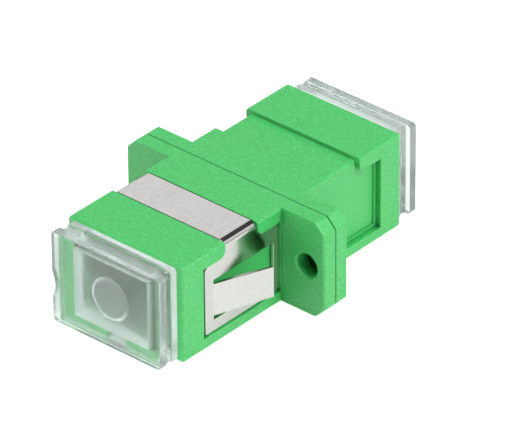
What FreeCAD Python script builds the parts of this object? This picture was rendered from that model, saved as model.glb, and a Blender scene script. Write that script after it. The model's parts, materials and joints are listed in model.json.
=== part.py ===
"""Square push-pull fibre adapter: two welded housing halves, a stamped panel clip, sleeve holder, caps.

X runs across the flange towards one ear, Y along the fibre towards the rear port, Z up.
The origin is the middle of the flange seam on the fibre axis. Sizes are in millimetres.
Each piece is drawn for the front port, on the -Y side, and its rear twin is turned half a turn about Z.
"""
import FreeCAD, Part
import os
import re

import Sketcher

os.makedirs("parts", exist_ok=True)
document = FreeCAD.newDocument("FibreAdapter")
sheet = document.addObject("Spreadsheet::Sheet", "Sizes")

DRIVING_SIZES = {
    # The plug that goes into each port, and the ferrule sleeve between them
    "plug_width": 9.0,
    "plug_height": 7.4,
    "plug_clearance": 0.06,
    "port_corner": 0.4,
    "keyway_width": 2.2,
    "keyway_length": 4.6,
    "ferrule_diameter": 2.5,
    "sleeve_wall": 0.35,
    "sleeve_length": 11.4,
    "sleeve_slit": 0.5,
    "sleeve_chamfer": 0.1,
    # Housing halves and their share of the flange
    "body_width": 12.8,
    "body_height": 9.35,
    "half_length": 14.1,
    "body_round": 0.25,
    "flange_width": 22.25,
    "flange_half": 1.5,
    "ear_chamfer": 1.0,
    "flange_round": 0.2,
    "seam_chamfer": 0.08,
    "ear_hole_diameter": 2.3,
    "ear_hole_margin": 1.975,
    # Clip recess: a shallow pocket in each side, joined over the top by the strap's groove
    "recess_depth": 0.5,
    "recess_strip": 0.15,
    "recess_shoulder": 1.35,
    "recess_ledge": 1.05,
    "recess_blend": 0.65,
    "mouth_band": 2.65,
    "saddle_length": 3.0,
    "strap_groove": 4.16,
    "strap_depth": 0.34,
    "panel_depth": 0.12,
    "panel_margin": 0.35,
    "panel_ledge": 1.46,
    # Panel clip
    "clip_thickness": 0.3,
    "clip_gap": 0.03,
    "clip_edge_gap": 0.06,
    "strap_gap": 0.1,
    "clip_front_gap": 0.38,
    "clip_bend": 0.3,
    "clip_corner": 0.4,
    "clip_front_corner": 0.2,
    "clip_front_bar": 1.07,
    "clip_rear_bar": 0.65,
    "clip_upper_bar": 1.71,
    "clip_lower_bar": 1.17,
    "window_corner": 0.25,
    "tongue_slit": 0.4,
    "tongue_end_gap": 2.17,
    "tongue_angle": 19.5,
    "tongue_taper": 0.16,
    # Sleeve holder halves, trapped between the housing halves
    "holder_side_ledge": 0.44,
    "holder_top_ledge": 0.24,
    "holder_plate": 1.1,
    "holder_gap": 0.05,
    "barrel_wall": 0.65,
    "barrel_lip": 0.55,
    "lip_clearance": 0.18,
    "arm_inset": 0.4,
    "arm_thickness": 0.75,
    "arm_width": 3.0,
    "arm_end": 9.6,
    "hook_length": 1.0,
    "hook_height": 0.5,
    "arm_root_round": 0.4,
    # Dust caps
    "cap_clearance": 0.05,
    "cap_seat_gap": 0.05,
    "cap_flange_side": 0.58,
    "cap_flange_top": 0.12,
    "cap_flange": 0.7,
    "cap_neck": 0.77,
    "cap_neck_inset": 0.12,
    "cap_plate_side": 0.5,
    "cap_wide_side": 0.23,
    "cap_plate_top": 0.18,
    "cap_plate": 0.88,
    "cap_corner": 0.35,
    "cap_edge": 0.12,
    "cap_skirt_gap": 0.55,
    "cap_skirt_wall": 0.8,
    "cap_lead_in": 0.3,
    "cap_core_diameter": 4.1,
    "cap_skin": 0.9,
    "gate_length": 2.7,
    "gate_depth": 0.4,
    "gate_drop": 0.75,
}

for row, (name, size) in enumerate(DRIVING_SIZES.items(), start=1):
    sheet.set(f"A{row}", name)
    sheet.set(f"B{row}", str(size))
    sheet.setAlias(f"B{row}", name)
document.recompute()

# Sizes that follow from the driving ones, as expressions
PORT_WIDTH = "(plug_width + 2 * plug_clearance)"
PORT_HEIGHT = "(plug_height + 2 * plug_clearance)"
HOLDER_WIDTH = f"({PORT_WIDTH} + 2 * holder_side_ledge)"
HOLDER_HEIGHT = f"({PORT_HEIGHT} + 2 * holder_top_ledge)"
HOLDER_POCKET = "(holder_plate + 2 * holder_gap)"
SLEEVE_OUTER = "(ferrule_diameter + 2 * sleeve_wall)"
BARREL_BORE = f"({SLEEVE_OUTER} + 2 * holder_gap)"
BARREL_OUTER = f"({BARREL_BORE} + 2 * barrel_wall)"
BARREL_SEAT = "(sleeve_length / 2 + holder_gap)"
BARREL_END = f"({BARREL_SEAT} + barrel_lip)"
LIP_BORE = "(ferrule_diameter + 2 * lip_clearance)"
ARM_OUTER = f"({PORT_WIDTH} / 2 - arm_inset)"
ARM_INNER = f"({ARM_OUTER} - arm_thickness)"
EAR_HOLE = "(flange_width / 2 - ear_hole_margin)"
RECESS_FLOOR = "(body_width / 2 - recess_depth)"
RECESS_START = "(flange_half + recess_strip)"
RECESS_END = "(half_length - mouth_band)"
RECESS_TOP = "(body_height / 2 - recess_shoulder)"
RECESS_BOTTOM = "(body_height / 2 - recess_ledge)"
STRAP_START = "(flange_half + saddle_length)"
STRAP_END = f"({STRAP_START} + strap_groove)"
STRAP_FLOOR = "(body_height / 2 - strap_depth)"
CLIP_INNER = f"({RECESS_FLOOR} + clip_gap)"
CLIP_OUTER = f"({CLIP_INNER} + clip_thickness)"
CLIP_UNDERSIDE = f"({STRAP_FLOOR} + clip_gap)"
CLIP_TOP = f"({CLIP_UNDERSIDE} + clip_thickness)"
CLIP_REAR = f"({RECESS_START} + clip_edge_gap)"
CLIP_FRONT = f"({RECESS_END} - clip_front_gap)"
PLATE_TOP = f"({RECESS_TOP} - clip_edge_gap)"
PLATE_BOTTOM = f"({RECESS_BOTTOM} - clip_edge_gap)"
CLIP_STRAP_REAR = f"({STRAP_START} + strap_gap)"
CLIP_STRAP_FRONT = f"({STRAP_END} - strap_gap)"
WINDOW_FRONT = f"({CLIP_FRONT} - clip_front_bar)"
WINDOW_REAR = f"({CLIP_REAR} + clip_rear_bar)"
WINDOW_TOP = f"({PLATE_TOP} - clip_upper_bar)"
WINDOW_BOTTOM = f"({PLATE_BOTTOM} - clip_lower_bar)"
CAP_START = "(half_length + cap_seat_gap)"
CAP_SKIRT_WIDTH = f"({PORT_WIDTH} - 2 * cap_clearance)"
CAP_SKIRT_HEIGHT = f"({PORT_HEIGHT} - 2 * cap_clearance)"
CAP_SKIRT_END = "(arm_end + cap_skirt_gap)"
CAP_FLANGE_WIDTH = "(body_width - 2 * cap_flange_side)"
CAP_FLANGE_HEIGHT = "(body_height - 2 * cap_flange_top)"
CAP_PLATE_EDGE = "(body_width / 2 - cap_plate_side)"
CAP_WIDE_EDGE = "(body_width / 2 - cap_wide_side)"
CAP_PLATE_HEIGHT = "(body_height - 2 * cap_plate_top)"
CAP_FRONT = f"({CAP_START} + cap_flange + cap_neck + cap_plate)"


def in_sheet(text):
    """The expression with the sheet's name put before each size it uses."""
    return re.sub(r"[a-z]\w*", lambda word: f"Sizes.{word[0]}" if word[0] in DRIVING_SIZES else word[0], text)


def value(text):
    """What an expression in the sheet's sizes comes to."""
    return float(sheet.evalExpression(in_sheet(text)))


def bind(item, property_name, text):
    item.setExpression(property_name, in_sheet(text))


def new_body(name, rear=False):
    """An empty body. A rear one is turned half a turn about Z."""
    body = document.addObject("PartDesign::Body", name)
    body.Label = name
    half_turn = FreeCAD.Rotation(FreeCAD.Vector(0, 0, 1), 180 if rear else 0)
    body.Placement = FreeCAD.Placement(FreeCAD.Vector(0, 0, 0), half_turn)
    return body


def new_sketch(body, name, role, offset="0"):
    """A sketch on one of the body's origin planes, moved along the plane's normal by an expression."""
    sketch = body.newObject("Sketcher::SketchObject", f"{body.Name}_{name}")
    plane = next(item for item in body.Origin.OriginFeatures if item.Role == role)
    sketch.AttachmentSupport = [(plane, "")]
    sketch.MapMode = "FlatFace"
    bind(sketch, "AttachmentOffset.Base.z", offset)
    return sketch


def place_point(sketch, element, point, across, up):
    """Fix one point of a sketch element by expressions for its distances from the sketch's origin."""
    for kind, text in (("DistanceX", across), ("DistanceY", up)):
        number = sketch.addConstraint(Sketcher.Constraint(kind, -1, 1, element, point, value(text)))
        bind(sketch, f"Constraints[{number}]", text)


def draw_polygon(sketch, corners):
    """A closed outline of straight lines whose corners are pairs of expressions."""
    first = sketch.GeometryCount
    points = [FreeCAD.Vector(value(across), value(up), 0) for across, up in corners]
    for index, point in enumerate(points):
        sketch.addGeometry(Part.LineSegment(point, points[(index + 1) % len(points)]))
    for index, (across, up) in enumerate(corners):
        following = first + (index + 1) % len(corners)
        sketch.addConstraint(Sketcher.Constraint("Coincident", first + index, 2, following, 1))
        place_point(sketch, first + index, 1, across, up)


def draw_rectangle(sketch, left, right, bottom, top):
    draw_polygon(sketch, [(left, bottom), (right, bottom), (right, top), (left, top)])


def draw_centred(sketch, width, height):
    """A rectangle centred on the sketch's origin."""
    draw_rectangle(sketch, f"-{width} / 2", f"{width} / 2", f"-{height} / 2", f"{height} / 2")


def draw_circle(sketch, diameter, across="0", up="0"):
    centre = FreeCAD.Vector(value(across), value(up), 0)
    circle = sketch.addGeometry(Part.Circle(centre, FreeCAD.Vector(0, 0, 1), value(diameter) / 2))
    number = sketch.addConstraint(Sketcher.Constraint("Diameter", circle, value(diameter)))
    bind(sketch, f"Constraints[{number}]", diameter)
    place_point(sketch, circle, 3, across, up)


def add_pad(body, sketch, length, backwards=False, centred=False):
    pad = body.newObject("PartDesign::Pad", f"{sketch.Name}_pad")
    pad.Profile = sketch
    pad.Reversed = backwards
    pad.Midplane = centred
    bind(pad, "Length", length)
    document.recompute()
    return pad


def add_pocket(body, sketch, length=None, centred=False):
    """A pocket against the sketch's normal, or through everything where no length is given."""
    before = body.Shape.Volume
    pocket = body.newObject("PartDesign::Pocket", f"{sketch.Name}_pocket")
    pocket.Profile = sketch
    pocket.Midplane = centred
    if length is None:
        pocket.Type = "ThroughAll"
    else:
        bind(pocket, "Length", length)
    document.recompute()
    if body.Shape.Volume >= before:
        raise RuntimeError(f"{pocket.Name} cut nothing")
    return pocket


def add_mirrored(body, features):
    """The same features again on the other side of the body's YZ plane."""
    mirrored = body.newObject("PartDesign::Mirrored", f"{features[-1].Name}_mirrored")
    mirrored.Originals = features
    plane = next(item for item in body.Origin.OriginFeatures if item.Role == "YZ_Plane")
    mirrored.MirrorPlane = (plane, [""])
    body.Tip = mirrored
    document.recompute()
    return mirrored


def edges_along(feature, axis, places):
    """Names of the feature's straight edges that run along an axis through the given places.

    A place is a pair of expressions for the two other coordinates, in X, Y, Z order.
    """
    others = [index for index in range(3) if index != axis]
    targets = [(value(first), value(second)) for first, second in places]
    names = []
    for number, edge in enumerate(feature.Shape.Edges, start=1):
        ends = [vertex.Point for vertex in edge.Vertexes]
        if len(ends) != 2 or edge.Curve.TypeId != "Part::GeomLine":
            continue
        for target in targets:
            gaps = [abs(end[index] - want) for end in ends for index, want in zip(others, target)]
            if max(gaps) < 1e-4:
                names.append(f"Edge{number}")
    return names


def face_edges(feature, axis, place):
    """Names of the outer edges of the feature's largest flat face at one place on an axis."""
    want = value(place)
    flat = [face for face in feature.Shape.Faces
            if abs(face.BoundBox.getPoint(0)[axis] - want) < 1e-4
            and abs(face.BoundBox.getPoint(6)[axis] - want) < 1e-4]
    outer = max(flat, key=lambda face: face.Area).OuterWire.Edges
    return [f"Edge{number}" for number, edge in enumerate(feature.Shape.Edges, start=1)
            if any(edge.isSame(other) for other in outer)]


def round_edges(body, feature, names, radius):
    fillet = body.newObject("PartDesign::Fillet", f"{feature.Name}_round")
    fillet.Base = (feature, names)
    bind(fillet, "Radius", radius)
    document.recompute()
    return fillet


def bevel_edges(body, feature, names, size):
    chamfer = body.newObject("PartDesign::Chamfer", f"{feature.Name}_bevel")
    chamfer.Base = (feature, names)
    bind(chamfer, "Size", size)
    document.recompute()
    return chamfer


def box_corners(width, height):
    """The four corners of a centred rectangle, as places for edges_along."""
    return [(f"{side}{width} / 2", f"{end}{height} / 2") for side in ("", "-") for end in ("", "-")]


X_AXIS, Y_AXIS, Z_AXIS = range(3)


def make_housing(name, rear):
    """One moulded half: square port, half of the flange, and the recess that the panel clip sits in."""
    body = new_body(name, rear)

    block = new_sketch(body, "block", "XZ_Plane")
    draw_centred(block, "body_width", "body_height")
    block_pad = add_pad(body, block, "half_length")
    long_edges = edges_along(block_pad, Y_AXIS, box_corners("body_width", "body_height"))
    mouth_edges = face_edges(block_pad, Y_AXIS, "-half_length")
    round_edges(body, block_pad, long_edges + mouth_edges, "body_round")

    flange = new_sketch(body, "flange", "XZ_Plane")
    draw_centred(flange, "flange_width", "body_height")
    flange_pad = add_pad(body, flange, "flange_half")
    ear_corners = edges_along(flange_pad, Y_AXIS, box_corners("flange_width", "body_height"))
    chamfered = bevel_edges(body, flange_pad, ear_corners, "ear_chamfer")
    seam = face_edges(chamfered, Y_AXIS, "0")
    seamed = bevel_edges(body, chamfered, seam, "seam_chamfer")
    ear_places = [(f"{side}flange_width / 2", "-flange_half") for side in ("", "-")]
    round_edges(body, seamed, edges_along(seamed, Z_AXIS, ear_places), "flange_round")

    port = new_sketch(body, "port", "XZ_Plane", "half_length")
    draw_centred(port, PORT_WIDTH, PORT_HEIGHT)
    port_pocket = add_pocket(body, port)
    port_corners = edges_along(port_pocket, Y_AXIS, box_corners(PORT_WIDTH, PORT_HEIGHT))
    round_edges(body, port_pocket, port_corners, "port_corner")

    seat = new_sketch(body, "holder_seat", "XZ_Plane", HOLDER_POCKET)
    draw_centred(seat, f"({HOLDER_WIDTH} + 2 * holder_gap)", f"({HOLDER_HEIGHT} + 2 * holder_gap)")
    add_pocket(body, seat, HOLDER_POCKET)

    keyway = new_sketch(body, "keyway", "XZ_Plane", "half_length")
    draw_rectangle(keyway, "-keyway_width / 2", "keyway_width / 2", "-body_height / 2", "-plug_height / 4")
    add_pocket(body, keyway, "keyway_length")

    ears = new_sketch(body, "ear_holes", "XZ_Plane", "flange_half")
    for side in ("", "-"):
        draw_circle(ears, "ear_hole_diameter", f"{side}{EAR_HOLE}")
    add_pocket(body, ears)

    groove = new_sketch(body, "strap_groove", "XY_Plane", "body_height / 2")
    draw_rectangle(groove, "-body_width / 2", "body_width / 2", f"-{STRAP_END}", f"-{STRAP_START}")
    add_pocket(body, groove, "strap_depth")

    recess = new_sketch(body, "side_recess", "YZ_Plane", "body_width / 2")
    draw_polygon(recess, [
        (f"-{RECESS_END}", f"-{RECESS_BOTTOM}"), (f"-{RECESS_START}", f"-{RECESS_BOTTOM}"),
        (f"-{RECESS_START}", RECESS_TOP), (f"-{STRAP_START}", RECESS_TOP),
        (f"-{STRAP_START}", "body_height / 2"), (f"-{STRAP_END}", "body_height / 2"),
        (f"-{STRAP_END}", RECESS_TOP), (f"-{RECESS_END}", RECESS_TOP),
    ])
    recess_pocket = add_pocket(body, recess, "recess_depth")
    panel = new_sketch(body, "recess_panel", "YZ_Plane", RECESS_FLOOR)
    draw_rectangle(panel, f"-({RECESS_END} - panel_margin)", f"-{RECESS_START}",
                   "-(body_height / 2 - panel_ledge)", RECESS_TOP)
    panel_pocket = add_pocket(body, panel, "panel_depth")
    both_sides = add_mirrored(body, [recess_pocket, panel_pocket])

    neck = [(f"-{STRAP_START}", RECESS_TOP), (f"-{STRAP_END}", RECESS_TOP)]
    shoulders = edges_along(both_sides, X_AXIS, neck)
    blended = round_edges(body, both_sides, shoulders, "recess_blend")
    strap_corners = [(f"{side}{RECESS_FLOOR}", STRAP_FLOOR) for side in ("", "-")]
    round_edges(body, blended, edges_along(blended, Y_AXIS, strap_corners), "clip_bend")
    return body


def make_panel_clip():
    """A folded steel strip: a strap over the top, a windowed plate and sprung tongue down each side."""
    body = new_body("panel_clip")

    channel = new_sketch(body, "channel", "XZ_Plane", CLIP_REAR)
    draw_polygon(channel, [
        (CLIP_OUTER, f"-{PLATE_BOTTOM}"), (CLIP_OUTER, CLIP_TOP), (f"-{CLIP_OUTER}", CLIP_TOP),
        (f"-{CLIP_OUTER}", f"-{PLATE_BOTTOM}"), (f"-{CLIP_INNER}", f"-{PLATE_BOTTOM}"),
        (f"-{CLIP_INNER}", CLIP_UNDERSIDE), (CLIP_INNER, CLIP_UNDERSIDE), (CLIP_INNER, f"-{PLATE_BOTTOM}"),
    ])
    folded = add_pad(body, channel, f"{CLIP_FRONT} - {CLIP_REAR}")
    outer_bends = [(f"{side}{CLIP_OUTER}", CLIP_TOP) for side in ("", "-")]
    inner_bends = [(f"{side}{CLIP_INNER}", CLIP_UNDERSIDE) for side in ("", "-")]
    bent = round_edges(body, folded, edges_along(folded, Y_AXIS, outer_bends), "(clip_bend + clip_thickness)")
    bent = round_edges(body, bent, edges_along(bent, Y_AXIS, inner_bends), "clip_bend")

    # The blank is cut back to the strap's width above the side plates
    notches = new_sketch(body, "notches", "YZ_Plane")
    draw_rectangle(notches, f"-{CLIP_STRAP_REAR}", "0", PLATE_TOP, "body_height")
    draw_rectangle(notches, "-half_length", f"-{CLIP_STRAP_FRONT}", PLATE_TOP, "body_height")
    notched = add_pocket(body, notches, centred=True)
    neck = [(f"-{CLIP_STRAP_REAR}", PLATE_TOP), (f"-{CLIP_STRAP_FRONT}", PLATE_TOP)]
    necked = round_edges(body, notched, edges_along(notched, X_AXIS, neck), "(recess_blend + strap_gap)")
    corners = [(f"-{CLIP_FRONT}", PLATE_TOP), (f"-{CLIP_REAR}", PLATE_TOP),
               (f"-{CLIP_REAR}", f"-{PLATE_BOTTOM}")]
    trimmed = bevel_edges(body, necked, edges_along(necked, X_AXIS, corners), "clip_corner")
    front_foot = edges_along(trimmed, X_AXIS, [(f"-{CLIP_FRONT}", f"-{PLATE_BOTTOM}")])
    bevel_edges(body, trimmed, front_foot, "clip_front_corner")

    window = new_sketch(body, "window", "YZ_Plane")
    draw_rectangle(window, f"-{WINDOW_FRONT}", f"-{WINDOW_REAR}", f"-{WINDOW_BOTTOM}", WINDOW_TOP)
    windowed = add_pocket(body, window, centred=True)
    window_corners = [(f"-{WINDOW_REAR}", WINDOW_TOP), (f"-{WINDOW_REAR}", f"-{WINDOW_BOTTOM}")]
    round_edges(body, windowed, edges_along(windowed, X_AXIS, window_corners), "window_corner")

    # Each tongue springs out of its plate from the window's front edge
    tongue = new_sketch(body, "tongue", "XY_Plane", f"tongue_slit - {WINDOW_BOTTOM}")
    tongue_end = f"-({WINDOW_REAR} + tongue_end_gap)"
    reach_out = f"({WINDOW_FRONT} - {WINDOW_REAR} - tongue_end_gap) * tan(tongue_angle)"
    draw_polygon(tongue, [
        (CLIP_INNER, f"-{WINDOW_FRONT}"), (CLIP_OUTER, f"-{WINDOW_FRONT}"),
        (f"{CLIP_OUTER} + {reach_out}", tongue_end), (f"{CLIP_INNER} + {reach_out}", tongue_end),
    ])
    sprung = add_pad(body, tongue, f"{WINDOW_TOP} + {WINDOW_BOTTOM} - 2 * tongue_slit")
    add_mirrored(body, [sprung])
    taper = new_sketch(body, "tongue_taper", "YZ_Plane")
    tongue_top = f"({WINDOW_TOP} - tongue_slit)"
    draw_polygon(taper, [(f"-{WINDOW_FRONT}", tongue_top), (tongue_end, f"{tongue_top} - tongue_taper"),
                         (tongue_end, tongue_top)])
    add_pocket(body, taper, centred=True)
    return body


def make_split_sleeve():
    """The slotted ceramic tube that lines the two ferrules up."""
    body = new_body("split_sleeve")
    ring = new_sketch(body, "ring", "XZ_Plane")
    draw_circle(ring, SLEEVE_OUTER)
    draw_circle(ring, "ferrule_diameter")
    tube = add_pad(body, ring, "sleeve_length", centred=True)
    rims = [f"Edge{number}" for number, edge in enumerate(tube.Shape.Edges, start=1)
            if edge.Curve.TypeId == "Part::GeomCircle"]
    bevel_edges(body, tube, rims, "sleeve_chamfer")
    slit = new_sketch(body, "slit", "XY_Plane", SLEEVE_OUTER)
    draw_rectangle(slit, "-sleeve_slit / 2", "sleeve_slit / 2", "-sleeve_length", "sleeve_length")
    add_pocket(body, slit, SLEEVE_OUTER)
    return body


def make_latch(name, rear):
    """Half of the sleeve holder: base plate, barrel round the sleeve and two hooked arms for the plug."""
    body = new_body(name, rear)

    plate = new_sketch(body, "plate", "XZ_Plane", "holder_gap")
    draw_centred(plate, HOLDER_WIDTH, HOLDER_HEIGHT)
    add_pad(body, plate, "holder_plate")
    barrel = new_sketch(body, "barrel", "XZ_Plane", "holder_gap")
    draw_circle(barrel, BARREL_OUTER)
    add_pad(body, barrel, f"{BARREL_END} - holder_gap")

    arm = new_sketch(body, "arm", "XY_Plane")
    draw_polygon(arm, [
        (ARM_INNER, "-holder_plate"), (ARM_OUTER, "-holder_plate"), (ARM_OUTER, "-arm_end"),
        (ARM_INNER, "-arm_end"), (f"{ARM_INNER} - hook_height", "-arm_end + hook_height"),
        (f"{ARM_INNER} - hook_height", "-arm_end + hook_length"), (ARM_INNER, "-arm_end + hook_length"),
    ])
    arm_pad = add_pad(body, arm, "arm_width", centred=True)
    both_arms = add_mirrored(body, [arm_pad])
    roots = [(f"{side}{ARM_INNER}", "-(holder_plate + holder_gap)") for side in ("", "-")]
    round_edges(body, both_arms, edges_along(both_arms, Z_AXIS, roots), "arm_root_round")

    bore = new_sketch(body, "bore", "XZ_Plane", BARREL_SEAT)
    draw_circle(bore, BARREL_BORE)
    add_pocket(body, bore, BARREL_SEAT)
    lip = new_sketch(body, "lip", "XZ_Plane", BARREL_END)
    draw_circle(lip, LIP_BORE)
    add_pocket(body, lip)
    return body


def make_dust_cap(name, rear):
    """A clear cap: hollow skirt in the port, flange on its face, grip groove and a plate, cored inside."""
    body = new_body(name, rear)
    flange_start = CAP_START
    neck_start = f"({CAP_START} + cap_flange)"
    plate_start = f"({CAP_START} + cap_flange + cap_neck)"

    flange = new_sketch(body, "flange", "XZ_Plane", flange_start)
    draw_centred(flange, CAP_FLANGE_WIDTH, CAP_FLANGE_HEIGHT)
    flange_pad = add_pad(body, flange, "cap_flange")
    flange_corners = box_corners(CAP_FLANGE_WIDTH, CAP_FLANGE_HEIGHT)
    round_edges(body, flange_pad, edges_along(flange_pad, Y_AXIS, flange_corners), "cap_corner")
    neck_width = f"({CAP_FLANGE_WIDTH} - 2 * cap_neck_inset)"
    neck_height = f"({CAP_FLANGE_HEIGHT} - 2 * cap_neck_inset)"
    neck = new_sketch(body, "neck", "XZ_Plane", neck_start)
    draw_centred(neck, neck_width, neck_height)
    neck_pad = add_pad(body, neck, "cap_neck")
    neck_corners = edges_along(neck_pad, Y_AXIS, box_corners(neck_width, neck_height))
    round_edges(body, neck_pad, neck_corners, "(cap_corner - cap_neck_inset)")
    plate = new_sketch(body, "plate", "XZ_Plane", plate_start)
    plate_half = f"{CAP_PLATE_HEIGHT} / 2"
    draw_rectangle(plate, f"-{CAP_WIDE_EDGE}", CAP_PLATE_EDGE, f"-{plate_half}", plate_half)
    plate_pad = add_pad(body, plate, "cap_plate")
    plate_corners = [(edge, f"{end}{plate_half}") for edge in (f"-{CAP_WIDE_EDGE}", CAP_PLATE_EDGE)
                     for end in ("", "-")]
    rounded = round_edges(body, plate_pad, edges_along(plate_pad, Y_AXIS, plate_corners), "cap_corner")
    round_edges(body, rounded, face_edges(rounded, Y_AXIS, f"-{CAP_FRONT}"), "cap_edge")

    skirt = new_sketch(body, "skirt", "XZ_Plane", flange_start)
    draw_centred(skirt, CAP_SKIRT_WIDTH, CAP_SKIRT_HEIGHT)
    skirt_pad = add_pad(body, skirt, f"{CAP_START} - {CAP_SKIRT_END}", backwards=True)
    skirt_corners = edges_along(skirt_pad, Y_AXIS, box_corners(CAP_SKIRT_WIDTH, CAP_SKIRT_HEIGHT))
    rounded = round_edges(body, skirt_pad, skirt_corners, "port_corner")
    bevel_edges(body, rounded, face_edges(rounded, Y_AXIS, f"-{CAP_SKIRT_END}"), "cap_lead_in")
    hollow_width = f"({CAP_SKIRT_WIDTH} - 2 * cap_skirt_wall)"
    hollow_height = f"({CAP_SKIRT_HEIGHT} - 2 * cap_skirt_wall)"
    hollow = new_sketch(body, "hollow", "XZ_Plane", flange_start)
    draw_centred(hollow, hollow_width, hollow_height)
    add_pocket(body, hollow)

    core_end = f"({CAP_FRONT} - cap_skin)"
    core = new_sketch(body, "core", "XZ_Plane", core_end)
    draw_circle(core, "cap_core_diameter")
    add_pocket(body, core, f"{core_end} - {CAP_START}")

    # The mould's gate leaves a shallow scallop in one edge of the plate, the rear cap's on its narrow side
    scallop_radius = "((gate_length / 2) ^ 2 + gate_depth ^ 2) / (2 * gate_depth)"
    inset = f"{scallop_radius} - gate_depth"
    across = f"{CAP_PLATE_EDGE} + {inset}" if rear else f"-({CAP_WIDE_EDGE} + {inset})"
    scallop = new_sketch(body, "gate_scallop", "XZ_Plane", CAP_FRONT)
    draw_circle(scallop, f"2 * {scallop_radius}", across, "-gate_drop")
    add_pocket(body, scallop, "cap_plate")
    return body


pieces = [
    make_housing("front_housing", rear=False),
    make_housing("rear_housing", rear=True),
    make_panel_clip(),
    make_split_sleeve(),
    make_latch("front_latch", rear=False),
    make_latch("rear_latch", rear=True),
    make_dust_cap("front_dust_cap", rear=False),
    make_dust_cap("rear_dust_cap", rear=True),
]
document.recompute()

for item in document.Objects:
    if "Invalid" in item.State or "Error" in item.State:
        raise RuntimeError(f"{item.Name} failed: {item.State}")
for piece in pieces:
    if piece.Shape.isNull() or not piece.Shape.isValid() or len(piece.Shape.Solids) != 1:
        raise RuntimeError(f"{piece.Label} isn't one valid solid")

for piece in pieces:
    piece.Shape.exportStep(f"parts/{piece.Label}.step")
    print(f"{piece.Label}: {piece.Shape.Volume:.2f} mm3")
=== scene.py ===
import json
import math
import bmesh
import bpy
from mathutils import Matrix, Vector


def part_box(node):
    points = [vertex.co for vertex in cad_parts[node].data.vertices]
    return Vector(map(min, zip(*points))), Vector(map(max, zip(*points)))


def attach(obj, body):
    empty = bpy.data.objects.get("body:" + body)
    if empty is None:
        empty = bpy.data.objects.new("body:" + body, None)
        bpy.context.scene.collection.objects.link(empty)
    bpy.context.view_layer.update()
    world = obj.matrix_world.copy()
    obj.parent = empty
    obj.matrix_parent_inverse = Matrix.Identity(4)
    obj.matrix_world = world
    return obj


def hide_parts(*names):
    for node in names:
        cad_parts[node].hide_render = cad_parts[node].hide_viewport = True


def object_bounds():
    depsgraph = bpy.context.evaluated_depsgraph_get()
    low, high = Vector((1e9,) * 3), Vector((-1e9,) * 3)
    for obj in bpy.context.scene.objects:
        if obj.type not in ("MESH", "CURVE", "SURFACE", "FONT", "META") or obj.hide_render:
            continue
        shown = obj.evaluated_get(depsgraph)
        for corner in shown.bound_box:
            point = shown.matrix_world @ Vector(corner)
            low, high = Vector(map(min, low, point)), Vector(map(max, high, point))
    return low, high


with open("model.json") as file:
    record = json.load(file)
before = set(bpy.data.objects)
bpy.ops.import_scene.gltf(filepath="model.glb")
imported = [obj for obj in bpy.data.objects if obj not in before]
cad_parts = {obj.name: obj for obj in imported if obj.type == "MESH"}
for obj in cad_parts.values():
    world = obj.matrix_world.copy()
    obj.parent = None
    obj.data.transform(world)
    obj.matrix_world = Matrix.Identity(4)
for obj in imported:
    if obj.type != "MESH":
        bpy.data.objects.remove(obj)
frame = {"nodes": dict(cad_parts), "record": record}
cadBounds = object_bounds()
mm = 0.001
print("frame loaded:", len(frame["nodes"]), "nodes")


def addNode(tree, kind, **inputs):
    node = tree.nodes.new(kind)
    for name, value in inputs.items():
        node.inputs[name].default_value = value
    return node


def link(tree, output, target):
    tree.links.new(output, target)


def addMath(tree, operation, first, second):  # the second value is a number or a socket
    node = tree.nodes.new("ShaderNodeMath")
    node.operation = operation
    link(tree, first, node.inputs[0])
    if isinstance(second, float):
        node.inputs[1].default_value = second
    else:
        link(tree, second, node.inputs[1])
    return node.outputs[0]


def colour(red, green, blue):
    return (red, green, blue, 1.0)


def newGroup(name, inputs, outputs):  # inputs are (name, socket type, default), outputs (name, socket type)
    tree = bpy.data.node_groups.new(name, "ShaderNodeTree")
    for socketName, kind, default in inputs:
        socket = tree.interface.new_socket(name=socketName, in_out="INPUT", socket_type=kind)
        socket.default_value = default
    for socketName, kind in outputs:
        tree.interface.new_socket(name=socketName, in_out="OUTPUT", socket_type=kind)
    return tree, tree.nodes.new("NodeGroupInput"), tree.nodes.new("NodeGroupOutput")


def newMaterial(name, **settings):
    material = bpy.data.materials.new(name)
    material.use_nodes = True
    tree = material.node_tree
    shader = tree.nodes["Principled BSDF"]
    for socketName, value in settings.items():
        shader.inputs[socketName.replace("_", " ")].default_value = value
    return material, tree, shader


grainSettings = {  # each material gives the fine noise its size, and the slow one is per metre
    "fine": {"Detail": 3.0, "Roughness": 0.6},
    "slow": {"Scale": 160.0, "Detail": 2.0, "Roughness": 0.5},
}


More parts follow.
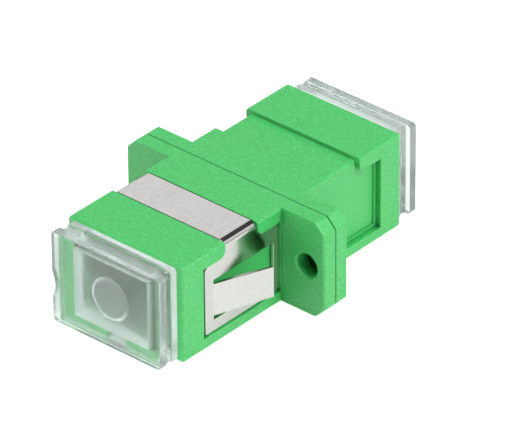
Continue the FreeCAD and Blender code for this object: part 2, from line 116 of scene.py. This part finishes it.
def makeFineGrain():  # a moulded or rolled skin: fine relief plus a slow change of tone
    tree, given, result = newGroup(
        "fineGrain",
        [("Grain Size", "NodeSocketFloat", 0.1), ("Relief", "NodeSocketFloat", 0.002),
         ("Stretch", "NodeSocketVector", (1.0, 1.0, 1.0))],
        [("Normal", "NodeSocketVector"), ("Grain", "NodeSocketFloat"), ("Drift", "NodeSocketFloat")])
    place = addNode(tree, "ShaderNodeTexCoord")
    stretched = tree.nodes.new("ShaderNodeVectorMath")
    stretched.operation = "MULTIPLY"
    link(tree, place.outputs["Object"], stretched.inputs[0])
    link(tree, given.outputs["Stretch"], stretched.inputs[1])
    perMetre = tree.nodes.new("ShaderNodeMath")
    perMetre.operation = "DIVIDE"
    perMetre.inputs[0].default_value = 1.0
    link(tree, given.outputs["Grain Size"], perMetre.inputs[1])
    fine = addNode(tree, "ShaderNodeTexNoise", **grainSettings["fine"])
    link(tree, stretched.outputs[0], fine.inputs["Vector"])
    link(tree, perMetre.outputs[0], fine.inputs["Scale"])
    slow = addNode(tree, "ShaderNodeTexNoise", **grainSettings["slow"])
    link(tree, stretched.outputs[0], slow.inputs["Vector"])
    bump = addNode(tree, "ShaderNodeBump", Strength=1.0)
    link(tree, fine.outputs["Fac"], bump.inputs["Height"])
    link(tree, given.outputs["Relief"], bump.inputs["Distance"])
    link(tree, bump.outputs["Normal"], result.inputs["Normal"])
    link(tree, fine.outputs["Fac"], result.inputs["Grain"])
    link(tree, slow.outputs["Fac"], result.inputs["Drift"])
    return tree


fineGrain = makeFineGrain()


def addGrain(tree, size, relief, stretch=(1.0, 1.0, 1.0)):
    grain = tree.nodes.new("ShaderNodeGroup")
    grain.node_tree = fineGrain
    grain.inputs["Grain Size"].default_value = size
    grain.inputs["Relief"].default_value = relief
    grain.inputs["Stretch"].default_value = stretch
    return grain


maskSpan = (0.3, 0.7)  # the stretch of a mask in which a tone or a value changes


def toneBetween(tree, mask, dark, light):
    ramp = tree.nodes.new("ShaderNodeValToRGB")
    for stop, position, tone in zip(ramp.color_ramp.elements, maskSpan, (dark, light)):
        stop.position = position
        stop.color = tone
    link(tree, mask, ramp.inputs["Fac"])
    return ramp.outputs["Color"]


def mapRange(tree, value, source, target=(0.0, 1.0)):
    spread = tree.nodes.new("ShaderNodeMapRange")
    for end, number in zip(("From Min", "From Max", "To Min", "To Max"), source + target):
        spread.inputs[end].default_value = number
    link(tree, value, spread.inputs["Value"])
    return spread.outputs["Result"]


def addSkin(tree, shader, tone, grain, roughnessMask, roughness):
    link(tree, tone, shader.inputs["Base Color"])
    spread = mapRange(tree, grain.outputs[roughnessMask], maskSpan, roughness)
    link(tree, spread, shader.inputs["Roughness"])
    link(tree, grain.outputs["Normal"], shader.inputs["Normal"])


greenSettings = {
    "skin": {"dark": colour(0.018, 0.395, 0.068), "light": colour(0.060, 0.585, 0.140)},
    # the second pair is painted shade for the inside of the seam's groove, a darker copy of the same green
    "seam": {"dark": colour(0.002, 0.070, 0.014), "light": colour(0.006, 0.110, 0.022)},
    "creaseShade": colour(0.0, 0.155, 0.030),  # painted shade: the darker tone deep in holes, grooves and inner corners, where less light reaches
    "creaseShadeReach": 1.2 * mm,
    "creaseShadeSamples": 8,
    "grainSize": 0.17 * mm,
    "relief": 0.014 * mm,
    "roughness": (0.40, 0.52),
    "specular": 0.8,
    "refraction": 1.6,
    "scatter": 0.08,
    "scatterRadius": (0.3, 1.0, 0.4),
    "scatterScale": 0.4 * mm,
}


def makeGreenPlastic(name, dark, light):
    settings = greenSettings
    material, tree, shader = newMaterial(name, IOR=settings["refraction"])
    shader.inputs["Subsurface Weight"].default_value = settings["scatter"]
    shader.inputs["Subsurface Radius"].default_value = settings["scatterRadius"]
    shader.inputs["Subsurface Scale"].default_value = settings["scatterScale"]
    shader.inputs["Specular IOR Level"].default_value = settings["specular"]
    grain = addGrain(tree, settings["grainSize"], settings["relief"])
    skin = toneBetween(tree, grain.outputs["Grain"], dark, light)
    # painted shade: ambient occlusion darkens the skin towards the painted-shade tone in holes, grooves and
    # inner corners
    creaseShadeMask = addNode(tree, "ShaderNodeAmbientOcclusion", Distance=settings["creaseShadeReach"])
    creaseShadeMask.only_local = True
    creaseShadeMask.samples = settings["creaseShadeSamples"]
    creaseShaded = tree.nodes.new("ShaderNodeMix")
    creaseShaded.data_type = "RGBA"
    creaseShaded.inputs["A"].default_value = settings["creaseShade"]
    link(tree, mapRange(tree, creaseShadeMask.outputs["AO"], maskSpan), creaseShaded.inputs["Factor"])
    link(tree, skin, creaseShaded.inputs["B"])
    addSkin(tree, shader, creaseShaded.outputs["Result"], grain, "Drift", settings["roughness"])
    return material


steelSettings = {
    "dark": colour(0.61, 0.59, 0.58),
    "light": colour(0.73, 0.72, 0.705),
    "grainSize": 0.10 * mm,
    "relief": 0.0005 * mm,
    "stretch": (1.0, 0.12, 1.0),
    "roughness": (0.11, 0.17),
}


def makeSpringSteel():
    settings = steelSettings
    material, tree, shader = newMaterial("rolledSpringSteel", Metallic=1.0)
    grain = addGrain(tree, settings["grainSize"], settings["relief"], settings["stretch"])
    tone = toneBetween(tree, grain.outputs["Grain"], settings["dark"], settings["light"])
    addSkin(tree, shader, tone, grain, "Drift", settings["roughness"])
    return material


ceramicSettings = {
    "dark": colour(0.84, 0.83, 0.79),
    "light": colour(0.9, 0.89, 0.85),
    "grainSize": 0.05 * mm,
    "relief": 0.0008 * mm,
    "roughness": (0.16, 0.26),
    "refraction": 2.1,
}


def makeCeramic():
    settings = ceramicSettings
    material, tree, shader = newMaterial("groundCeramic", IOR=settings["refraction"])
    grain = addGrain(tree, settings["grainSize"], settings["relief"])
    tone = toneBetween(tree, grain.outputs["Drift"], settings["dark"], settings["light"])
    addSkin(tree, shader, tone, grain, "Grain", settings["roughness"])
    return material


holderSettings = {
    "dark": colour(0.5, 0.52, 0.5),
    "light": colour(0.58, 0.6, 0.57),
    "grainSize": 0.15 * mm,
    "relief": 0.004 * mm,
    "roughness": (0.45, 0.58),
    "refraction": 1.5,
}


def makeHolderPlastic():
    settings = holderSettings
    material, tree, shader = newMaterial("naturalHolderPlastic", IOR=settings["refraction"])
    grain = addGrain(tree, settings["grainSize"], settings["relief"])
    tone = toneBetween(tree, grain.outputs["Grain"], settings["dark"], settings["light"])
    addSkin(tree, shader, tone, grain, "Drift", settings["roughness"])
    return material


clearSettings = {
    "dark": colour(0.74, 0.82, 0.79),
    "light": colour(0.83, 0.885, 0.865),
    "grainSize": 0.4 * mm,
    "relief": 0.0015 * mm,
    "refraction": 1.49,
    "polished": {"clearness": 0.95, "roughness": (0.19, 0.27)},
    # the next is for the inner walls, the dimple and the flange's rim
    "frosted": {"clearness": 0.86, "roughness": (0.38, 0.50)},
}


def makeClearPlastic(name, clearness, roughness):
    settings = clearSettings
    material, tree, shader = newMaterial(name, IOR=settings["refraction"])
    shader.inputs["Transmission Weight"].default_value = clearness
    grain = addGrain(tree, settings["grainSize"], settings["relief"])
    tone = toneBetween(tree, grain.outputs["Drift"], settings["dark"], settings["light"])
    addSkin(tree, shader, tone, grain, "Drift", roughness)
    return material


frostedPlastic = makeClearPlastic("frostedCapPlastic", **clearSettings["frosted"])
# painted shade: a darker green for the faces inside the seam's groove
seamShadePlastic = makeGreenPlastic("greenSeamShadePlastic", **greenSettings["seam"])
materialForSlot = {
    "green_plastic": makeGreenPlastic("greenMouldedPlastic", **greenSettings["skin"]),
    "spring_steel": makeSpringSteel(),
    "ceramic": makeCeramic(),
    "holder_plastic": makeHolderPlastic(),
    "clear_plastic": makeClearPlastic("clearCapPlastic", **clearSettings["polished"]),
}
slotOfNode = {part["node"]: part["material_slot"] for part in frame["record"]["subparts"]}
for nodeName, node in frame["nodes"].items():
    node.data.materials.clear()
    node.data.materials.append(materialForSlot[slotOfNode[nodeName]])
print("materials ready")


weldDistance = 0.0005 * mm
flatAngle = math.radians(0.5)  # faces that turn less than this become one
sharpAngle = math.radians(32)  # faces that turn more than this meet in a sharp edge
nearly = 0.004 * mm  # how close two places count as the same
roundWidth = 0.42 * mm  # a face narrower than this is part of a round


def mergedCopy(node):
    work = bmesh.new()
    work.from_mesh(frame["nodes"][node].data)
    bmesh.ops.remove_doubles(work, verts=work.verts, dist=weldDistance)
    bmesh.ops.dissolve_limit(work, angle_limit=flatAngle, verts=work.verts, edges=work.edges)
    return work


def sharpEdges(work, angle=sharpAngle):
    return [edge for edge in work.edges if edge.is_manifold and edge.calc_face_angle() > angle]


def roundOff(work, edges, width, segments):  # the tightest place limits the width for all the edges
    bmesh.ops.bevel(work, geom=edges, offset=width, offset_type="OFFSET", affect="EDGES", segments=segments,
                    profile=0.5, material=-1, clamp_overlap=True)


def extrudeLoop(work, edges, offset):  # carries a loop of edges along, and gives back its new end
    grown = bmesh.ops.extrude_edge_only(work, edges=edges)["geom"]
    verts = [item for item in grown if isinstance(item, bmesh.types.BMVert)]
    bmesh.ops.translate(work, verts=verts, vec=offset)
    ends = set(verts)
    return [item for item in grown if isinstance(item, bmesh.types.BMEdge) and set(item.verts) <= ends]


def finishPiece(work, name, node, body, *otherMaterials, angle=sharpAngle):
    for face in work.faces:
        face.smooth = face.calc_area() < roundWidth * max(edge.calc_length() for edge in face.edges)
    bmesh.ops.triangulate(work, faces=work.faces)
    for edge in sharpEdges(work, angle):
        edge.smooth = False
    mesh = bpy.data.meshes.new(name)
    work.to_mesh(mesh)
    work.free()
    importedNormals = mesh.attributes.get("custom_normal")  # they belong to the CAD triangles
    if importedNormals:
        mesh.attributes.remove(importedNormals)
    for material in (materialForSlot[slotOfNode[node]], *otherMaterials):
        mesh.materials.append(material)
    piece = bpy.data.objects.new(name, mesh)
    bpy.context.scene.collection.objects.link(piece)
    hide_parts(node)
    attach(piece, body)
    print(name, "has", len(mesh.polygons), "faces")
    return piece


housingSettings = {
    "earRound": 0.32 * mm,  # the flange's outer edges; 0.15 mm of it fits in front, 0.075 mm behind
    "earStart": 6.6 * mm,  # how far out along X the flange stands free of the body
    "seamReach": 0.50 * mm,  # the seam's groove, how deep
    "seamOpening": 0.045 * mm,  # and half its width at the mouth
    "seamMargin": 0.15 * mm,  # an edge that lies nearer the seam than this stays sharp
    "segments": 3,
}


def makeHousing(name, node):
    work = mergedCopy(node)
    settings = housingSettings
    side = 1 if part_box(node)[1][1] > settings["seamReach"] else -1
    mating = [face for face in work.faces if all(abs(v.co.y) < nearly for v in face.verts)]
    groove = bmesh.ops.inset_region(work, faces=mating, thickness=settings["seamReach"], use_boundary=True,
                                    use_even_offset=True)["faces"]
    # the groove's faces take the painted-shade green
    for face in groove:
        face.material_index = 1
    touching = {v for face in mating for v in face.verts}
    for vert in {v for face in groove for v in face.verts} - touching:
        vert.co.y += side * settings["seamOpening"]
    rounded = []
    for edge in sharpEdges(work):
        atSeam = all(abs(v.co.y) < settings["seamMargin"] for v in edge.verts)
        onEar = all(abs(v.co.x) > settings["earStart"] for v in edge.verts)
        if onEar and edge.is_convex and not atSeam:
            rounded.append(edge)
    roundOff(work, rounded, settings["earRound"], settings["segments"])
    finishPiece(work, name, node, "coupler", seamShadePlastic)


clipSettings = {
    "edgeRound": 0.04 * mm,  # 0.025 mm of it fits
    "segments": 2,
    "angle": math.radians(20),  # where the shading breaks, once the edges are rounded
}


def makeClip(name, node):
    work = mergedCopy(node)
    roundOff(work, sharpEdges(work), clipSettings["edgeRound"], clipSettings["segments"])
    finishPiece(work, name, node, "coupler", angle=clipSettings["angle"])


capSettings = {  # each cap is a cup: its side and end walls, and a low round dimple inside the end wall
    "edgeRound": 0.06 * mm,  # only 0.003 mm of it fits
    "segments": 2,
    "angle": math.radians(20),  # where the shading breaks, once the edges are rounded
    "rimWidth": 0.75 * mm,  # the flange's, from its seat on the housing
    "endWall": 1.1 * mm,
    "thinning": 0.42 * mm,  # how much the inside is wider than the plain CAD cap's, each way
    "dimpleRadius": 2.05 * mm,
    "dimpleDepth": 0.30 * mm,
    "dimpleTaper": 0.28 * mm,
    "dimpleSides": 64,
    "upright": 0.5,  # a wall's normal has a smaller part than this along Y
}


def makeCap(name, node, body):
    work = mergedCopy(node)
    settings = capSettings
    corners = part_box(node)
    side = 1 if corners[1][1] > 0 else -1
    tip = max(abs(corner[1]) for corner in corners)
    skirtEnd = min(abs(corner[1]) for corner in corners)
    seat = min(abs(v.co.y) for v in work.verts if v.co.xz.length < settings["dimpleRadius"] + nearly)
    openEnd = [v for v in work.verts if abs(v.co.y) < skirtEnd + nearly]
    halfWidth = min(abs(v.co.x) for v in openEnd) + nearly
    halfHeight = min(abs(v.co.z) for v in openEnd) + nearly

    def inHollow(vert):
        across = abs(vert.co.x) < halfWidth and abs(vert.co.z) < halfHeight
        return across and abs(vert.co.y) < tip - nearly

    plug = [face for face in work.faces
            if all(inHollow(v) and abs(v.co.y) > seat - nearly for v in face.verts)]
    bmesh.ops.delete(work, geom=plug, context="FACES")
    for vert in filter(inHollow, work.verts):
        vert.co.x += math.copysign(settings["thinning"], vert.co.x)
        vert.co.z += math.copysign(settings["thinning"], vert.co.z)
    halfWidth += settings["thinning"]
    halfHeight += settings["thinning"]
    wall = extrudeLoop(work, [edge for edge in work.edges if edge.is_boundary],
                       (0, side * (tip - settings["endWall"] - seat), 0))
    wallPlace = Matrix.Translation((0, side * (tip - settings["endWall"]), 0))
    ring = bmesh.ops.create_circle(work, segments=settings["dimpleSides"], radius=settings["dimpleRadius"],
                                   matrix=wallPlace @ Matrix.Rotation(math.radians(90), 4, "X"))
    rim = list({edge for vert in ring["verts"] for edge in vert.link_edges})
    bmesh.ops.bridge_loops(work, edges=wall + rim)
    bottom = extrudeLoop(work, rim, (0, side * settings["dimpleDepth"], 0))
    shrink = 1 - settings["dimpleTaper"] / settings["dimpleRadius"]
    bmesh.ops.scale(work, vec=(shrink, 1, shrink), verts=list({v for edge in bottom for v in edge.verts}))
    bmesh.ops.edgeloop_fill(work, edges=bottom)
    bmesh.ops.recalc_face_normals(work, faces=work.faces)
    work.normal_update()
    for face in work.faces:
        inside = all(inHollow(v) for v in face.verts)
        onDimple = inside and all(v.co.xz.length < settings["dimpleRadius"] + nearly for v in face.verts)
        upright = abs(face.normal.y) < settings["upright"]
        onRim = not inside and upright and all(
            seat - nearly < abs(v.co.y) < seat + settings["rimWidth"] for v in face.verts)
        matt = onRim or (inside and upright != onDimple)
        face.material_index = 1 if matt else 0
    roundOff(work, sharpEdges(work), settings["edgeRound"], settings["segments"])
    piece = finishPiece(work, name, node, body, frostedPlastic, angle=settings["angle"])
    piece.visible_shadow = False  # light reaches the green plastic behind the clear cap


makeHousing("frontHousingBody", "front_housing")
makeHousing("rearHousingBody", "rear_housing")
makeClip("panelClipSteel", "panel_clip")
makeCap("frontCapClear", "front_dust_cap", "front_cap")
makeCap("rearCapClear", "rear_dust_cap", "rear_cap")


low, high = (Vector(corner) for corner in cadBounds)
middle = (low + high) / 2

stageSettings = {  # the glow lifts the floor to white where it is looked at, and behind clear plastic
    "size": 1.2, "colour": colour(0.93, 0.93, 0.93), "roughness": 0.7, "glow": 0.50,
    "gap": 0.02 * mm,  # between the floor and the lowest point of the part
    "shade": (14 * mm, 21 * mm), "through": 0.7,  # less of it shows through clear plastic, and none close by
}


def makeFloor():
    work = bmesh.new()
    bmesh.ops.create_grid(work, x_segments=1, y_segments=1, size=stageSettings["size"])
    bmesh.ops.translate(work, verts=work.verts, vec=(0, 0, low.z - stageSettings["gap"]))
    mesh = bpy.data.meshes.new("studioFloor")
    work.to_mesh(mesh)
    work.free()
    material, tree, shader = newMaterial("paleFloor", Roughness=stageSettings["roughness"])
    shader.inputs["Base Color"].default_value = stageSettings["colour"]
    shader.inputs["Emission Color"].default_value = colour(1.0, 1.0, 1.0)
    seen = tree.nodes.new("ShaderNodeLightPath")
    place = addNode(tree, "ShaderNodeTexCoord")
    away = tree.nodes.new("ShaderNodeVectorMath")
    away.operation = "LENGTH"
    link(tree, place.outputs["Object"], away.inputs[0])
    clear = mapRange(tree, away.outputs["Value"], stageSettings["shade"], (0.0, stageSettings["through"]))
    through = addMath(tree, "MULTIPLY", seen.outputs["Is Transmission Ray"], clear)
    either = addMath(tree, "MAXIMUM", seen.outputs["Is Camera Ray"], through)
    glow = addMath(tree, "MULTIPLY", either, stageSettings["glow"])
    link(tree, glow, shader.inputs["Emission Strength"])
    mesh.materials.append(material)
    floor = bpy.data.objects.new("studioFloor", mesh)
    bpy.context.scene.collection.objects.link(floor)


lightSettings = {  # direction the light comes from, its size in metres, distance and power in watts
    "keyLight": {"azimuth": 92, "elevation": 42, "size": 0.30, "distance": 0.50, "power": 1.8},
    "topLight": {"azimuth": 0, "elevation": 86, "size": 0.40, "distance": 0.50, "power": 1.15},
    "fillLight": {"azimuth": -32, "elevation": 18, "size": 0.30, "distance": 0.50, "power": 0.85},
}


def towards(azimuth, elevation):  # unit vector from the object to a viewer or light
    a, e = math.radians(azimuth), math.radians(elevation)
    return Vector((math.sin(a) * math.cos(e), -math.cos(a) * math.cos(e), math.sin(e)))


def makeLight(name, azimuth, elevation, size, distance, power):
    lamp = bpy.data.lights.new(name, "AREA")
    lamp.size = size
    lamp.energy = power
    light = bpy.data.objects.new(name, lamp)
    direction = towards(azimuth, elevation)
    light.location = middle + direction * distance
    light.rotation_euler = direction.to_track_quat("Z", "Y").to_euler()
    bpy.context.scene.collection.objects.link(light)


roomSettings = {  # brightness of the room by the sine of the height above the horizon
    "heights": (0.50, 0.56, 0.70, 0.79, 0.81, 0.92, 1.0),  # half is the horizon, one is overhead
    "greys": (0.30, 0.50, 0.92, 1.00, 0.05, 0.05, 0.80),
    "front": 0.30,  # how bright the room is in front of the object, where the back is one
    "change": (-0.3, 0.3),  # the stretch along Y in which the front becomes the back
    "strength": 1.0,
}


def makeWorld():
    world = bpy.data.worlds.new("paleRoom")
    world.use_nodes = True
    tree = world.node_tree
    place = addNode(tree, "ShaderNodeTexCoord")
    split = addNode(tree, "ShaderNodeSeparateXYZ")
    link(tree, place.outputs["Generated"], split.inputs[0])
    ramp = tree.nodes.new("ShaderNodeValToRGB")
    stops = ramp.color_ramp.elements
    while len(stops) < len(roomSettings["heights"]):
        stops.new(0.5)
    for stop, height, grey in zip(stops, roomSettings["heights"], roomSettings["greys"]):
        stop.position = height
        stop.color = colour(grey, grey, grey)
    link(tree, mapRange(tree, split.outputs["Z"], (-1.0, 1.0)), ramp.inputs["Fac"])
    background = tree.nodes["Background"]
    strengths = (roomSettings["front"] * roomSettings["strength"], roomSettings["strength"])
    depth = mapRange(tree, split.outputs["Y"], roomSettings["change"], strengths)
    link(tree, depth, background.inputs["Strength"])
    link(tree, ramp.outputs["Color"], background.inputs["Color"])
    bpy.context.scene.world = world


cameraSettings = {
    "azimuth": 41.290, "elevation": 32.500, "roll": -0.480,
    "distance": 552.30 * mm, "aside": 1.670 * mm, "above": 0.484 * mm,
    "lens": 456.60, "sensor": 36.0,
    "nearest": 0.02, "farthest": 10.0,
}


def makeCamera():
    data = bpy.data.cameras.new("studioCamera")
    data.lens = cameraSettings["lens"]
    data.sensor_width = cameraSettings["sensor"]
    data.clip_start = cameraSettings["nearest"]
    data.clip_end = cameraSettings["farthest"]
    camera = bpy.data.objects.new("studioCamera", data)
    a, r = math.radians(cameraSettings["azimuth"]), math.radians(cameraSettings["roll"])
    back = towards(cameraSettings["azimuth"], cameraSettings["elevation"])
    level = Vector((math.cos(a), math.sin(a), 0))
    upright = back.cross(level)
    right = level * math.cos(r) + upright * math.sin(r)
    up = upright * math.cos(r) - level * math.sin(r)
    place = middle + back * cameraSettings["distance"]
    place += right * cameraSettings["aside"] + up * cameraSettings["above"]
    turn = Matrix((right, up, back)).transposed().to_4x4()
    camera.matrix_world = Matrix.Translation(place) @ turn
    bpy.context.scene.collection.objects.link(camera)
    bpy.context.scene.camera = camera


makeFloor()
for lightName, light in lightSettings.items():
    makeLight(lightName, **light)
makeWorld()
makeCamera()
bpy.context.scene.view_settings.view_transform = "Standard"
print("stage, lights and camera ready")
